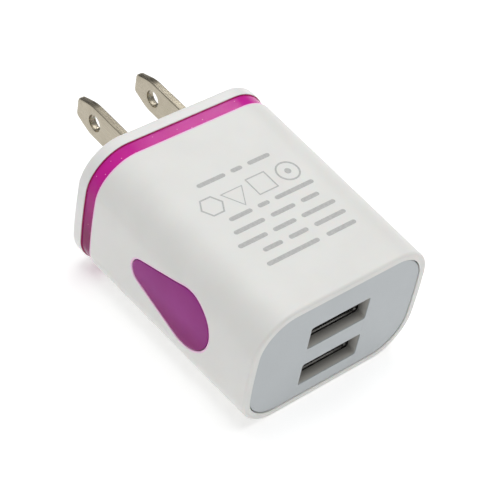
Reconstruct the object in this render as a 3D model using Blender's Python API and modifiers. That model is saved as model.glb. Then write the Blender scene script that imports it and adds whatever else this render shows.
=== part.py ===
"""USB wall charger: a two-blade plug cap, a light band, a tapered housing with two USB-A sockets, and the
converter inside it.

+Y points out of the plug face towards the outlet, -Y out of the socket face, +Z out of the printed wide
face. The origin is the middle of the plug face. All lengths are in metres.
"""

import math

import bmesh
import bpy
from mathutils import Matrix, Vector

# Housing
BODY_LENGTH = 0.0459
HALF_WIDTH = 0.0188  # at the socket face
HALF_DEPTH = 0.01265  # at the socket face
WIDTH_DRAFT = 0.00055  # growth of the half width towards the plug face
DEPTH_DRAFT = 0.0007
CORNER_RADIUS = 0.0075
SIDE_CROWN = 0.00073
WALL = 0.002
GAP = 0.0003
CORNER_STEPS = 6
SIDE_STEPS = 4

# Plug cap and light band
CAP_LENGTH = 0.0024
BAND_END = 0.00495
BAND_RECESS = 0.00025
EDGE_CHAMFER = 0.0003
LIP_LENGTH = 0.0052
LIP_WALL = 0.0012
BOSS_LENGTH = 0.0026
BOSS_MARGIN = 0.0016

# Blades
BLADE_SPACING = 0.0127
BLADE_THICKNESS = 0.0015
BLADE_WIDTH = 0.00635
BLADE_LENGTH = 0.017
BLADE_Z = 0.0045
BLADE_TIP_TAPER = 0.0032
BLADE_TIP_INSET = 0.001
BLADE_HOLE_RADIUS = 0.0016
BLADE_HOLE_Y = 0.0117
BLADE_ROOT = 0.0045
BLADE_TAIL_END = 0.0072
BLADE_TAIL_WIDTH = 0.003
BLADE_BEVEL = 0.0002

# Drop-shaped windows, one in each narrow side
WINDOW_HEAD_RADIUS = 0.00587
WINDOW_TIP_RADIUS = 0.0024
WINDOW_HEAD_Y = -0.0299
WINDOW_TIP_Y = -0.0185
WINDOW_Z = 0.0008
WINDOW_FLANGE = 0.0008
WINDOW_INNER_X = 0.0149
WINDOW_FLANGE_X = 0.0158

# Socket face
PLATE_RECESS = 0.0002
PLATE_THICKNESS = 0.002
RIM_WIDTH = 0.0014
PORT_WIDTH = 0.0127
PORT_HEIGHT = 0.0051
PORT_CORNER = 0.0004
PORT_Z = {"upper": 0.0031, "lower": -0.0058}

# USB-A receptacles
SOCKET_WIDTH = 0.0131
SOCKET_HEIGHT = 0.0057
SOCKET_CORNER = 0.0006
SOCKET_SHEET = 0.0003
SOCKET_BACK_Y = -0.0296
SOCKET_LEG_HEIGHT = 0.0018
TONGUE_HALF_WIDTH = 0.00555
TONGUE_THICKNESS = 0.00184
TONGUE_TIP_Y = -0.0410
TONGUE_BLOCK_Y = -0.0326
GROOVE_WIDTH = 0.0016
GROOVE_DEPTH = 0.0007
CONTACT_X = (-0.0035, -0.001, 0.001, 0.0035)
CONTACT_WIDTH = 0.001
CONTACT_SHEET = 0.00025
CONTACT_DROP = 0.00015  # below the tongue's contact side
CONTACT_BUMP = 0.0003
CONTACT_TIP_Y = -0.0406
CONTACT_BUMP_Y = -0.0393
CONTACT_ROOT_Y = -0.0329
TAIL_WIDTH = 0.0007

# Circuit boards
USB_BOARD_FRONT = -0.0293
BOARD_THICKNESS = 0.0012
USB_BOARD_HALF_WIDTH = 0.0135
USB_BOARD_BOTTOM = -0.0096
USB_BOARD_TOP = 0.0086
MAIN_BOARD_TOP = -0.0076
MAIN_BOARD_HALF_WIDTH = 0.0151
MAIN_BOARD_REAR = -0.0082
RAIL_HEIGHT = 0.001
RAIL_LIP = 0.0005

# Transformer
CORE_HALF_WIDTH = 0.006
CORE_HALF_LENGTH = 0.0065
CORE_HALF_DEPTH = 0.003
CORE_BACK = 0.0017
CORE_LEG_HALF = 0.0015
CORE_SIDE_LEG = 0.0014
WINDING_CORNER = 0.002
BOBBIN_WALL = 0.0006
BOBBIN_FLANGE_HALF = 0.0064
BOBBIN_FLANGE = 0.0008
TRANSFORMER_Y = -0.0204

# Other components
INPUT_CAN_RADIUS = 0.004
INPUT_CAN_HEIGHT = 0.013
INPUT_CAN_Y = -0.0125
OUTPUT_CAN_RADIUS = 0.00315
OUTPUT_CAN_HEIGHT = 0.011
OUTPUT_CAN_Y = -0.0234
CAN_X = 0.0103
PRIMARY_ROW_Y = -0.0184
DISC_RADIUS = 0.0035
DISC_THICKNESS = 0.0026
RESISTOR_RADIUS = 0.0014
RESISTOR_LENGTH = 0.0074
INDUCTOR_RADIUS = 0.0025
INDUCTOR_HEIGHT = 0.007
INDUCTOR_PLACE = (-0.0032, -0.0112)
CHIP_HEIGHT = 0.0013
LED_RADIUS = 0.0015
LED_LENGTH = 0.005
LED_X = 0.011
LEAD_RADIUS = 0.00065
OUTPUT_WIRE_RADIUS = 0.0005
OUTPUT_WIRE_X = 0.0085

MERGE = 0.00001
ROUND_STEPS = 20

for old_object in list(bpy.data.objects):
    bpy.data.objects.remove(old_object)

parts = bpy.data.collections.new("usb_wall_charger")
cutters = bpy.data.collections.new("cutters")
for collection in (parts, cutters):
    bpy.context.scene.collection.children.link(collection)


# Materials


def material(name, color, roughness, metallic=0.0):
    made = bpy.data.materials.new(name)
    made.use_nodes = True
    shader = made.node_tree.nodes["Principled BSDF"]
    shader.inputs["Base Color"].default_value = (*color, 1.0)
    shader.inputs["Roughness"].default_value = roughness
    shader.inputs["Metallic"].default_value = metallic
    made.diffuse_color = (*color, 1.0)
    return made


WHITE_SHELL = material("white_shell", (0.79, 0.79, 0.77), 0.35)
WHITE_CAP = material("white_cap", (0.80, 0.80, 0.78), 0.35)
GREY_PLATE = material("grey_plate", (0.48, 0.51, 0.54), 0.4)
MAGENTA_BAND = material("magenta_band", (0.62, 0.06, 0.38), 0.25)
MAGENTA_WINDOW = material("magenta_window", (0.30, 0.04, 0.24), 0.2)
NICKEL = material("nickel_blade", (0.52, 0.48, 0.40), 0.3, 1.0)
SOCKET_STEEL = material("socket_steel", (0.60, 0.60, 0.58), 0.3, 1.0)
SOCKET_PLASTIC = material("socket_plastic", (0.02, 0.02, 0.022), 0.45)
GOLD_CONTACT = material("contact_gold", (0.83, 0.62, 0.25), 0.25, 1.0)
TINNED_TAIL = material("tinned_tail", (0.65, 0.65, 0.63), 0.35, 1.0)
BOARD = material("circuit_board", (0.05, 0.19, 0.08), 0.5)
FERRITE = material("ferrite", (0.05, 0.05, 0.055), 0.7)
BOBBIN = material("bobbin_plastic", (0.04, 0.04, 0.04), 0.5)
TAPE = material("winding_tape", (0.75, 0.58, 0.08), 0.4)
COPPER = material("copper_wire", (0.72, 0.30, 0.12), 0.35, 1.0)
INPUT_SLEEVE = material("input_can_sleeve", (0.03, 0.035, 0.05), 0.35)
OUTPUT_SLEEVE = material("output_can_sleeve", (0.05, 0.12, 0.09), 0.35)
DISC_BLUE = material("disc_coating", (0.06, 0.18, 0.45), 0.4)
RESISTOR_COAT = material("resistor_coating", (0.22, 0.32, 0.28), 0.5)
CHIP = material("chip_resin", (0.025, 0.025, 0.025), 0.5)
LED_RESIN = material("led_resin", (0.80, 0.45, 0.60), 0.15)
LEAD_BLACK = material("lead_black", (0.03, 0.03, 0.03), 0.45)
LEAD_WHITE = material("lead_white", (0.70, 0.70, 0.68), 0.45)
WIRE_RED = material("wire_red", (0.50, 0.03, 0.03), 0.45)


# Modelling helpers


def put(name, data, finish, location=(0, 0, 0)):
    """Adds an object to the model, or to the cutters when it has no finish."""
    made = bpy.data.objects.new(name, data)
    made.location = location
    if finish:
        data.materials.append(finish)
        parts.objects.link(made)
    else:
        made.hide_render = True
        made.display_type = "WIRE"
        cutters.objects.link(made)
    return made


def box(name, low, high, finish=None):
    """A block between two corners, with its origin in its middle."""
    low, high = Vector(low), Vector(high)
    mesh = bpy.data.meshes.new(name)
    shape = bmesh.new()
    bmesh.ops.create_cube(shape, size=1, matrix=Matrix.Diagonal((*(high - low), 1)))
    shape.to_mesh(mesh)
    shape.free()
    return put(name, mesh, finish, (low + high) / 2)


def pillar(name, radius, low_y, high_y, x, z, steps=12):
    """A round cutter along Y."""
    mesh = bpy.data.meshes.new(name)
    shape = bmesh.new()
    turn = Matrix.Rotation(math.radians(90), 4, "X")
    depth = high_y - low_y
    bmesh.ops.create_cone(
        shape, cap_ends=True, segments=steps, radius1=radius, radius2=radius, depth=depth, matrix=turn
    )
    shape.to_mesh(mesh)
    shape.free()
    return put(name, mesh, None, (x, (low_y + high_y) / 2, z))


def rectangle(half_width, half_depth, radius, crown=0.0):
    """A rounded rectangle's (x, z) points, whose two narrow sides bulge out by the crown."""
    points = []
    for quarter, (side_x, side_z) in enumerate(((1, 1), (-1, 1), (-1, -1), (1, -1))):
        centre = Vector((side_x * (half_width - radius), side_z * (half_depth - radius)))
        for step in range(CORNER_STEPS + 1):
            angle = math.radians(90) * (quarter + step / CORNER_STEPS)
            points.append(centre + radius * Vector((math.cos(angle), math.sin(angle))))
        if crown and side_z * side_x < 0:
            straight = 2 * (half_depth - radius)
            for step in range(1, SIDE_STEPS):
                height = side_z * (half_depth - radius - straight * step / SIDE_STEPS)
                points.append(Vector((side_x * half_width, height)))
    return [(x * (1 - crown / half_width * (z / half_depth) ** 2), z) for x, z in points]


def body_ring(y, inset=0.0):
    """The housing's section at y, inset from its outer surface."""
    share = 1 + y / BODY_LENGTH
    half_width = HALF_WIDTH + WIDTH_DRAFT * share - inset
    half_depth = HALF_DEPTH + DEPTH_DRAFT * share - inset
    section = rectangle(half_width, half_depth, CORNER_RADIUS - inset, SIDE_CROWN)
    return [(x, y, z) for x, z in section]


def loft(name, rings, finish=None, capped=True):
    """A skin through rings that have equally many points, closed at both ends when it is capped."""
    mesh = bpy.data.meshes.new(name)
    shape = bmesh.new()
    corners = [shape.verts.new(point) for point in rings[0]]
    edges = [shape.edges.new(pair) for pair in zip(corners, corners[1:] + corners[:1])]
    if capped:
        shape.faces.new(corners)
    for ring in rings[1:]:
        grown = bmesh.ops.extrude_edge_only(shape, edges=edges)["geom"]
        new_edges = [item for item in grown if isinstance(item, bmesh.types.BMEdge)]
        follow = {}
        for edge in edges:
            for corner in edge.verts:
                for linked in corner.link_edges:
                    other = linked.other_vert(corner)
                    if other in grown and linked not in new_edges:
                        follow[corner] = other
        corners = [follow[corner] for corner in corners]
        for corner, point in zip(corners, ring):
            corner.co = point
        edges = [shape.edges.get(pair) for pair in zip(corners, corners[1:] + corners[:1])]
    if capped:
        shape.faces.new(corners)
    bmesh.ops.recalc_face_normals(shape, faces=shape.faces)
    shape.to_mesh(mesh)
    shape.free()
    return put(name, mesh, finish)


def solidify(target, thickness):
    """Gives an open skin a wall on its inner side."""
    wall = target.modifiers.new("wall", "SOLIDIFY")
    wall.thickness = thickness
    wall.offset = -1
    wall.use_even_offset = True


def chamfer(target, width):
    edge = target.modifiers.new("edges", "BEVEL")
    edge.width = width
    edge.segments = 1
    edge.limit_method = "ANGLE"


def combine(target, other, operation):
    step = target.modifiers.new(f"{operation.lower()}_{other.name}", "BOOLEAN")
    step.operation = operation
    step.object = other


def cut(target, *others):
    for other in others:
        combine(target, other, "DIFFERENCE")


def join(target, *others):
    for other in others:
        combine(target, other, "UNION")


def turned(name, profile, finish, location, axis=(0, 0, 1), steps=ROUND_STEPS):
    """A round shape from (radius, height) points that run down its outer side, on an axis."""
    mesh = bpy.data.meshes.new(name)
    points = [(radius, 0, height) for radius, height in profile]
    mesh.from_pydata(points, [(index, index + 1) for index in range(len(points) - 1)], [])
    made = put(name, mesh, finish, location)
    made.rotation_euler = Vector(axis).to_track_quat("Z", "Y").to_euler()
    turn = made.modifiers.new("turn", "SCREW")
    turn.steps = turn.render_steps = steps
    turn.use_merge_vertices = True
    turn.merge_threshold = MERGE
    made.data.shade_smooth()
    return made


def outline(name, points, thickness, finish, frame=Matrix.Identity(4)):
    """A flat outline, extruded along the frame's Z by half the thickness each way."""
    curve = bpy.data.curves.new(name, "CURVE")
    curve.dimensions = "2D"
    curve.fill_mode = "BOTH"
    curve.extrude = thickness / 2
    spline = curve.splines.new("POLY")
    spline.points.add(len(points) - 1)
    spline.use_cyclic_u = True
    for place, (x, y) in zip(spline.points, points):
        place.co = (x, y, 0, 1)
    made = put(name, curve, finish)
    made.matrix_world = frame
    return made


def meshed(source, finish=None):
    """The curve object as a mesh object with the same name, its caps welded on."""
    bpy.context.view_layer.update()
    graph = bpy.context.evaluated_depsgraph_get()
    mesh = bpy.data.meshes.new_from_object(source.evaluated_get(graph))
    mesh.materials.clear()
    shape = bmesh.new()
    shape.from_mesh(mesh)
    bmesh.ops.remove_doubles(shape, verts=shape.verts, dist=MERGE)
    bmesh.ops.recalc_face_normals(shape, faces=shape.faces)
    shape.to_mesh(mesh)
    shape.free()
    name, frame = source.name, source.matrix_world.copy()
    bpy.data.objects.remove(source)
    made = put(name, mesh, finish)
    made.matrix_world = frame
    return made


def wire(name, points, radius, finish):
    """An insulated wire along a smooth line through the points."""
    curve = bpy.data.curves.new(name, "CURVE")
    curve.dimensions = "3D"
    curve.bevel_depth = radius
    curve.bevel_resolution = 2
    curve.use_fill_caps = True
    spline = curve.splines.new("POLY")
    smooth = rounded_path([Vector(point) for point in points])
    spline.points.add(len(smooth) - 1)
    for place, point in zip(spline.points, smooth):
        place.co = (*point, 1)
    return put(name, curve, finish)


def rounded_path(points, steps=4):
    """The path with each inner corner replaced by a short curve."""
    path = [points[0]]
    for before, corner, after in zip(points, points[1:], points[2:]):
        start = corner.lerp(before, 0.45)
        end = corner.lerp(after, 0.45)
        for step in range(steps + 1):
            share = step / steps
            path.append(start.lerp(corner, share).lerp(corner.lerp(end, share), share))
    return path + [points[-1]]


# Looking along +X, with the outline's x along +Y and its y along +Z
SIDE_VIEW = Matrix(((0, 0, 1, 0), (1, 0, 0, 0), (0, 1, 0, 0), (0, 0, 0, 1)))


def side_view_at(x):
    return Matrix.Translation((x, 0, 0)) @ SIDE_VIEW


# Housing, cap, band and windows


def drop_points(growth=0.0, steps=10):
    """The drop's outline in (y, z): a small round tip, a round head and straight flanks between them."""
    head, tip = WINDOW_HEAD_RADIUS + growth, WINDOW_TIP_RADIUS + growth
    # The flanks lean, so the tip's arc is under half a turn and the head's is over it.
    lean = math.asin((head - tip) / (WINDOW_TIP_Y - WINDOW_HEAD_Y))
    quarter = math.pi / 2
    points = []
    for centre, radius, start, end in (
        (WINDOW_TIP_Y, tip, lean - quarter, quarter - lean),
        (WINDOW_HEAD_Y, head, quarter - lean, 3 * quarter + lean),
    ):
        for step in range(steps + 1):
            angle = start + (end - start) * step / steps
            points.append((centre + radius * math.cos(angle), WINDOW_Z + radius * math.sin(angle)))
    return points


def drop_prism(name, growth, low_x, high_x, side):
    middle = side * (low_x + high_x) / 2
    return meshed(outline(name, drop_points(growth), high_x - low_x, None, side_view_at(middle)))


def make_housing():
    skin = [body_ring(-BAND_END), body_ring(-BODY_LENGTH)]
    shell = loft("outer_shell", skin, WHITE_SHELL, capped=False)
    solidify(shell, WALL)
    recess_end = -BODY_LENGTH + PLATE_RECESS + PLATE_THICKNESS + GAP
    recess = [body_ring(y, RIM_WIDTH) for y in (-BODY_LENGTH - 0.001, recess_end)]
    cut(shell, loft("plate_recess", recess))
    blank = loft("window_blank", [body_ring(-0.01), body_ring(-0.04)])
    for side, label in ((-1, "left"), (1, "right")):
        cut(shell, drop_prism(f"{label}_window_hole", GAP, 0.0145, 0.0205, side))
        body = drop_prism(f"{label}_window_body", 0.0, WINDOW_INNER_X, 0.0205, side)
        flange = drop_prism(f"{label}_window_flange", WINDOW_FLANGE, WINDOW_INNER_X, WINDOW_FLANGE_X, side)
        window = put(f"drop_window_{label}", body.data.copy(), MAGENTA_WINDOW)
        window.matrix_world = body.matrix_world.copy()
        bpy.data.objects.remove(body)
        combine(window, blank, "INTERSECT")
        join(window, flange)
    join(shell, *board_rails(), *board_ribs())


def board_rails():
    """Rails along both side walls, above and below the main board's edges."""
    rails = []
    board_bottom = MAIN_BOARD_TOP - BOARD_THICKNESS
    inner = MAIN_BOARD_HALF_WIDTH - RAIL_LIP
    for side, label in ((-1, "left"), (1, "right")):
        for place, low_z, far in (
            ("upper", MAIN_BOARD_TOP + GAP, 0.0176),
            ("lower", board_bottom - GAP - RAIL_HEIGHT, 0.0165),
        ):
            low_x, high_x = sorted((side * inner, side * far))
            low = (low_x, -0.0273, low_z)
            high = (high_x, -0.0092, low_z + RAIL_HEIGHT)
            rails.append(box(f"{place}_rail_{label}", low, high))
    return rails


def board_ribs():
    """Rib pairs on the wide walls that hold the upright board's edges."""
    ribs = []
    board_rear = USB_BOARD_FRONT + BOARD_THICKNESS
    for place, low_z, high_z in (("top", 0.008, 0.0118), ("bottom", -0.0118, -0.009)):
        for side, low_y in (("front", USB_BOARD_FRONT - GAP - RAIL_HEIGHT), ("rear", board_rear + GAP)):
            low = (-0.004, low_y, low_z)
            ribs.append(box(f"{place}_rib_{side}", low, (0.004, low_y + RAIL_HEIGHT, high_z)))
    return ribs


def make_cap():
    lip_inset = WALL + GAP
    lip_end = -CAP_LENGTH - LIP_LENGTH
    rings = (
        (0, EDGE_CHAMFER),
        (-EDGE_CHAMFER, 0),
        (-CAP_LENGTH, 0),
        (-CAP_LENGTH, lip_inset),
        (lip_end, lip_inset),
        (lip_end, lip_inset + LIP_WALL),
        (-CAP_LENGTH, lip_inset + LIP_WALL),
    )
    cap = loft("plug_cap", [body_ring(y, inset) for y, inset in rings], WHITE_CAP)
    half = Vector((BLADE_SPACING / 2 + BOSS_MARGIN + BLADE_THICKNESS / 2, BLADE_WIDTH / 2 + BOSS_MARGIN))
    low = (-half.x, -CAP_LENGTH - BOSS_LENGTH, BLADE_Z - half.y)
    join(cap, box("blade_boss", low, (half.x, -CAP_LENGTH / 2, BLADE_Z + half.y)))
    reach = Vector((BLADE_THICKNESS / 2 + GAP, 0, BLADE_WIDTH / 2 + GAP))
    for side, label in ((-1, "left"), (1, "right")):
        middle = Vector((side * BLADE_SPACING / 2, 0, BLADE_Z))
        low, high = middle - reach, middle + reach
        low.y, high.y = -0.008, 0.001
        cut(cap, box(f"{label}_blade_slot", low, high))


def make_band():
    ends = (-CAP_LENGTH - GAP, -BAND_END + GAP)
    band = loft("light_band", [body_ring(y, BAND_RECESS) for y in ends], MAGENTA_BAND, capped=False)
    solidify(band, WALL - BAND_RECESS)


def make_plate():
    face = -BODY_LENGTH + PLATE_RECESS
    rings = [body_ring(y, RIM_WIDTH + GAP) for y in (face, face + PLATE_THICKNESS)]
    plate = loft("usb_face_plate", rings, GREY_PLATE)
    for label, z in PORT_Z.items():
        hole = rectangle(PORT_WIDTH / 2, PORT_HEIGHT / 2, PORT_CORNER)
        ends = (face - 0.001, face + PLATE_THICKNESS + 0.001)
        cut(plate, loft(f"{label}_port_hole", [[(x, y, z + up) for x, up in hole] for y in ends]))


# Blades and mains leads


def make_blade(label, side):
    half, tail = BLADE_WIDTH / 2, BLADE_TAIL_WIDTH / 2
    upper = [
        (-BLADE_TAIL_END, tail),
        (-BLADE_ROOT, tail),
        (-BLADE_ROOT, half),
        (BLADE_LENGTH - BLADE_TIP_TAPER, half),
        (BLADE_LENGTH, half - BLADE_TIP_INSET),
    ]
    points = upper + [(y, -z) for y, z in reversed(upper)]
    frame = Matrix.Translation((0, 0, BLADE_Z)) @ side_view_at(side * BLADE_SPACING / 2)
    blade = meshed(outline(f"blade_{label}", points, BLADE_THICKNESS, None, frame), NICKEL)
    chamfer(blade, BLADE_BEVEL)
    hole = pillar(f"{label}_blade_hole", BLADE_HOLE_RADIUS, -0.002, 0.002, 0, 0, steps=24)
    hole.rotation_euler.z = math.radians(90)
    hole.location = (side * BLADE_SPACING / 2, BLADE_HOLE_Y, BLADE_Z)
    cut(blade, hole)


def make_lead(label, side, finish):
    """The insulated lead from a blade's tail down to the main board."""
    start = (side * BLADE_SPACING / 2, -BLADE_TAIL_END - GAP, BLADE_Z)
    end = (side * 0.006, -0.0090, MAIN_BOARD_TOP + GAP)
    route = [
        start,
        (start[0], start[1] - 0.0011, start[2]),
        (start[0], start[1] - 0.0011, start[2] - 0.003),
        (end[0], end[1], end[2] + 0.003),
        end,
    ]
    wire(f"lead_{label}", route, LEAD_RADIUS, finish)


# USB receptacles


def make_socket(label, z):
    """A formed steel shell round a moulded tongue that carries four sprung contacts."""
    section = rectangle(SOCKET_WIDTH / 2, SOCKET_HEIGHT / 2, SOCKET_CORNER)
    front = -BODY_LENGTH + PLATE_RECESS + PLATE_THICKNESS + GAP
    rings = [[(x, y, z + up) for x, up in section] for y in (front, SOCKET_BACK_Y)]
    shell = loft(f"usb_shell_{label}", rings, SOCKET_STEEL, capped=False)
    solidify(shell, SOCKET_SHEET)
    leg_half = SOCKET_LEG_HEIGHT / 2
    for side in (-1, 1):
        low_x, high_x = sorted(side * x for x in (SOCKET_WIDTH / 2 - SOCKET_SHEET, SOCKET_WIDTH / 2))
        low = (low_x, SOCKET_BACK_Y - 0.0015, z - leg_half)
        leg = box(f"{label}_leg_{side}", low, (high_x, SOCKET_BACK_Y + 0.0021, z + leg_half))
        join(shell, leg)
    block_half_x = SOCKET_WIDTH / 2 - SOCKET_SHEET - GAP
    block_half_z = SOCKET_HEIGHT / 2 - SOCKET_SHEET - GAP
    low = (-block_half_x, TONGUE_BLOCK_Y, z - block_half_z)
    high = (block_half_x, SOCKET_BACK_Y, z + block_half_z)
    tongue = box(f"usb_tongue_{label}", low, high, SOCKET_PLASTIC)
    low = (-TONGUE_HALF_WIDTH, TONGUE_TIP_Y, z)
    high = (TONGUE_HALF_WIDTH, TONGUE_BLOCK_Y + 0.001, z + TONGUE_THICKNESS)
    join(tongue, box(f"{label}_tongue_blade", low, high))
    for number, x in enumerate(CONTACT_X, 1):
        low = (x - GROOVE_WIDTH / 2, TONGUE_TIP_Y - 0.001, z - GROOVE_DEPTH)
        high = (x + GROOVE_WIDTH / 2, SOCKET_BACK_Y + 0.001, z + GROOVE_DEPTH)
        cut(tongue, box(f"{label}_groove_{number}", low, high))
        make_contact(f"{label}_{number}", x, z)


def make_contact(label, x, z):
    """A contact's sprung leaf, with its origin on the line it bends about, and its fixed solder tail."""
    steps = 4
    span = CONTACT_BUMP_Y - CONTACT_TIP_Y
    middle = [(CONTACT_ROOT_Y, 0.0), (CONTACT_BUMP_Y + 2 * span, 0.0)]
    for step in range(1, steps + 1):
        share = step / steps
        drop = CONTACT_BUMP * math.sin(math.pi / 2 * share)
        middle.append((CONTACT_BUMP_Y + 2 * span * (1 - share), -drop))
    middle += [(CONTACT_BUMP_Y - span / 2, -CONTACT_BUMP * 0.7), (CONTACT_TIP_Y, 0.0)]
    half = CONTACT_SHEET / 2
    points = [(y - CONTACT_ROOT_Y, up + half) for y, up in middle]
    points += [(y - CONTACT_ROOT_Y, up - half) for y, up in reversed(middle)]
    height = z - CONTACT_DROP
    frame = Matrix.Translation((0, CONTACT_ROOT_Y, height)) @ side_view_at(x)
    outline(f"contact_{label}", points, CONTACT_WIDTH, GOLD_CONTACT, frame)
    low = (x - TAIL_WIDTH / 2, TONGUE_BLOCK_Y, height - half)
    high = (x + TAIL_WIDTH / 2, USB_BOARD_FRONT + BOARD_THICKNESS + 0.0007, height + half)
    box(f"contact_tail_{label}", low, high, TINNED_TAIL)


# Boards and components


def make_usb_board():
    """The upright board that carries both receptacles and the two lamps."""
    rear = USB_BOARD_FRONT + BOARD_THICKNESS
    low = (-USB_BOARD_HALF_WIDTH, USB_BOARD_FRONT, USB_BOARD_BOTTOM)
    board = box("usb_board", low, (USB_BOARD_HALF_WIDTH, rear, USB_BOARD_TOP), BOARD)
    ends = (USB_BOARD_FRONT - 0.001, rear + 0.001)
    for label, z in PORT_Z.items():
        for number, x in enumerate(CONTACT_X, 1):
            cut(board, pillar(f"{label}_pin_hole_{number}", 0.00075, *ends, x, z - CONTACT_DROP))
        for side in (-1, 1):
            middle = side * (SOCKET_WIDTH - SOCKET_SHEET) / 2
            reach = SOCKET_SHEET / 2 + GAP
            up = SOCKET_LEG_HEIGHT / 2 + GAP
            low, high = (middle - reach, ends[0], z - up), (middle + reach, ends[1], z + up)
            cut(board, box(f"{label}_slot_{side}", low, high))


def make_main_board():
    front = USB_BOARD_FRONT + BOARD_THICKNESS + GAP
    low = (-MAIN_BOARD_HALF_WIDTH, front, MAIN_BOARD_TOP - BOARD_THICKNESS)
    box("main_board", low, (MAIN_BOARD_HALF_WIDTH, MAIN_BOARD_REAR, MAIN_BOARD_TOP), BOARD)


def make_transformer():
    """Two E cores pushed into a bobbin from both ends, with the taped winding round it."""
    middle_z = MAIN_BOARD_TOP + GAP + BOBBIN_FLANGE_HALF
    window = CORE_HALF_WIDTH - CORE_SIDE_LEG
    half_outline = [
        (0.0, CORE_HALF_LENGTH),
        (CORE_HALF_WIDTH, CORE_HALF_LENGTH),
        (CORE_HALF_WIDTH, GAP / 2),
        (window, GAP / 2),
        (window, CORE_HALF_LENGTH - CORE_BACK),
        (CORE_LEG_HALF, CORE_HALF_LENGTH - CORE_BACK),
        (CORE_LEG_HALF, GAP / 2),
    ]
    points = half_outline + [(-x, y) for x, y in reversed(half_outline[1:])]
    for label, turn in (("rear", 0), ("front", math.pi)):
        frame = Matrix.Translation((0, TRANSFORMER_Y, middle_z)) @ Matrix.Rotation(turn, 4, "Z")
        outline(f"transformer_core_{label}", points, 2 * CORE_HALF_DEPTH, FERRITE, frame)
    bore = Vector((CORE_LEG_HALF + GAP, CORE_HALF_LENGTH, CORE_HALF_DEPTH + GAP))
    flange_end = CORE_HALF_LENGTH - CORE_BACK - GAP - 0.0001
    tube = Vector((bore.x + BOBBIN_WALL, flange_end, bore.z + BOBBIN_WALL))
    middle = Vector((0, TRANSFORMER_Y, middle_z))
    bobbin = box("transformer_bobbin", middle - tube, middle + tube, BOBBIN)
    flange = Vector((window - GAP, BOBBIN_FLANGE / 2, BOBBIN_FLANGE_HALF))
    for label, side in (("rear", 1), ("front", -1)):
        place = middle + Vector((0, side * (flange_end - BOBBIN_FLANGE / 2), 0))
        join(bobbin, box(f"bobbin_flange_{label}", place - flange, place + flange))
    cut(bobbin, box("bobbin_bore", middle - bore, middle + bore))
    winding_half = (window - GAP, tube.z + GAP + 0.0018)
    ring = rectangle(*winding_half, WINDING_CORNER)
    reach = flange_end - BOBBIN_FLANGE - GAP
    ends = (TRANSFORMER_Y - reach, TRANSFORMER_Y + reach)
    rings = [[(x, y, middle_z + up) for x, up in ring] for y in ends]
    winding = loft("transformer_winding", rings, TAPE, capped=False)
    solidify(winding, winding_half[0] - tube.x - GAP)


def make_can(name, radius, height, x, y, finish):
    """An electrolytic capacitor: a sleeved can with a rolled-in neck over its rubber bung."""
    profile = (
        (0, height),
        (radius * 0.88, height),
        (radius, height - radius * 0.12),
        (radius, height * 0.2),
        (radius * 0.9, height * 0.16),
        (radius, height * 0.12),
        (radius, radius * 0.1),
        (radius * 0.9, 0),
        (0, 0),
    )
    turned(name, profile, finish, (x, y, MAIN_BOARD_TOP + GAP))


def make_inductor():
    """A drum core with a copper winding in its waist."""
    waist = INDUCTOR_RADIUS * 0.5
    disc = INDUCTOR_HEIGHT * 0.15
    top = INDUCTOR_HEIGHT
    profile = (
        (0, top),
        (INDUCTOR_RADIUS, top),
        (INDUCTOR_RADIUS, top - disc),
        (waist, top - disc),
        (waist, disc),
        (INDUCTOR_RADIUS, disc),
        (INDUCTOR_RADIUS, 0),
        (0, 0),
    )
    place = (*INDUCTOR_PLACE, MAIN_BOARD_TOP + GAP)
    turned("inductor_core", profile, FERRITE, place)
    low, high = disc + GAP, top - disc - GAP
    inner, outer = waist + GAP, INDUCTOR_RADIUS - 0.0001
    ring = ((inner, high), (outer, high), (outer, low), (inner, low), (inner, high))
    turned("inductor_winding", ring, COPPER, place)


def make_small_parts():
    disc_profile = (
        (0, DISC_THICKNESS / 2),
        (DISC_RADIUS * 0.7, DISC_THICKNESS * 0.42),
        (DISC_RADIUS, 0),
        (DISC_RADIUS * 0.7, -DISC_THICKNESS * 0.42),
        (0, -DISC_THICKNESS / 2),
    )
    disc_place = (CAN_X, PRIMARY_ROW_Y, MAIN_BOARD_TOP + GAP + DISC_RADIUS)
    turned("y_capacitor", disc_profile, DISC_BLUE, disc_place, axis=(0, 1, 0))
    half = RESISTOR_LENGTH / 2
    cap, waist = RESISTOR_RADIUS, RESISTOR_RADIUS * 0.85
    resistor_profile = (
        (0, half),
        (cap * 0.7, half),
        (cap, half * 0.85),
        (cap, half * 0.6),
        (waist, half * 0.5),
        (waist, -half * 0.5),
        (cap, -half * 0.6),
        (cap, -half * 0.85),
        (cap * 0.7, -half),
        (0, -half),
    )
    resistor_place = (-CAN_X, PRIMARY_ROW_Y, MAIN_BOARD_TOP + GAP + RESISTOR_RADIUS)
    turned("fusible_resistor", resistor_profile, RESISTOR_COAT, resistor_place, axis=(1, 0, 0), steps=16)
    top = MAIN_BOARD_TOP - BOARD_THICKNESS - GAP
    for name, x, y, size_x, size_y in (
        ("bridge_rectifier", 0.0055, -0.0115, 0.0047, 0.0039),
        ("switcher_ic", -0.005, -0.0165, 0.0039, 0.0049),
        ("output_diode", 0.0045, -0.0235, 0.0043, 0.0056),
    ):
        low = (x - size_x / 2, y - size_y / 2, top - CHIP_HEIGHT)
        chip = box(name, low, (x + size_x / 2, y + size_y / 2, top), CHIP)
        chamfer(chip, 0.00025)
    for label, side in (("left", -1), ("right", 1)):
        make_lamp(label, side)


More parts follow.
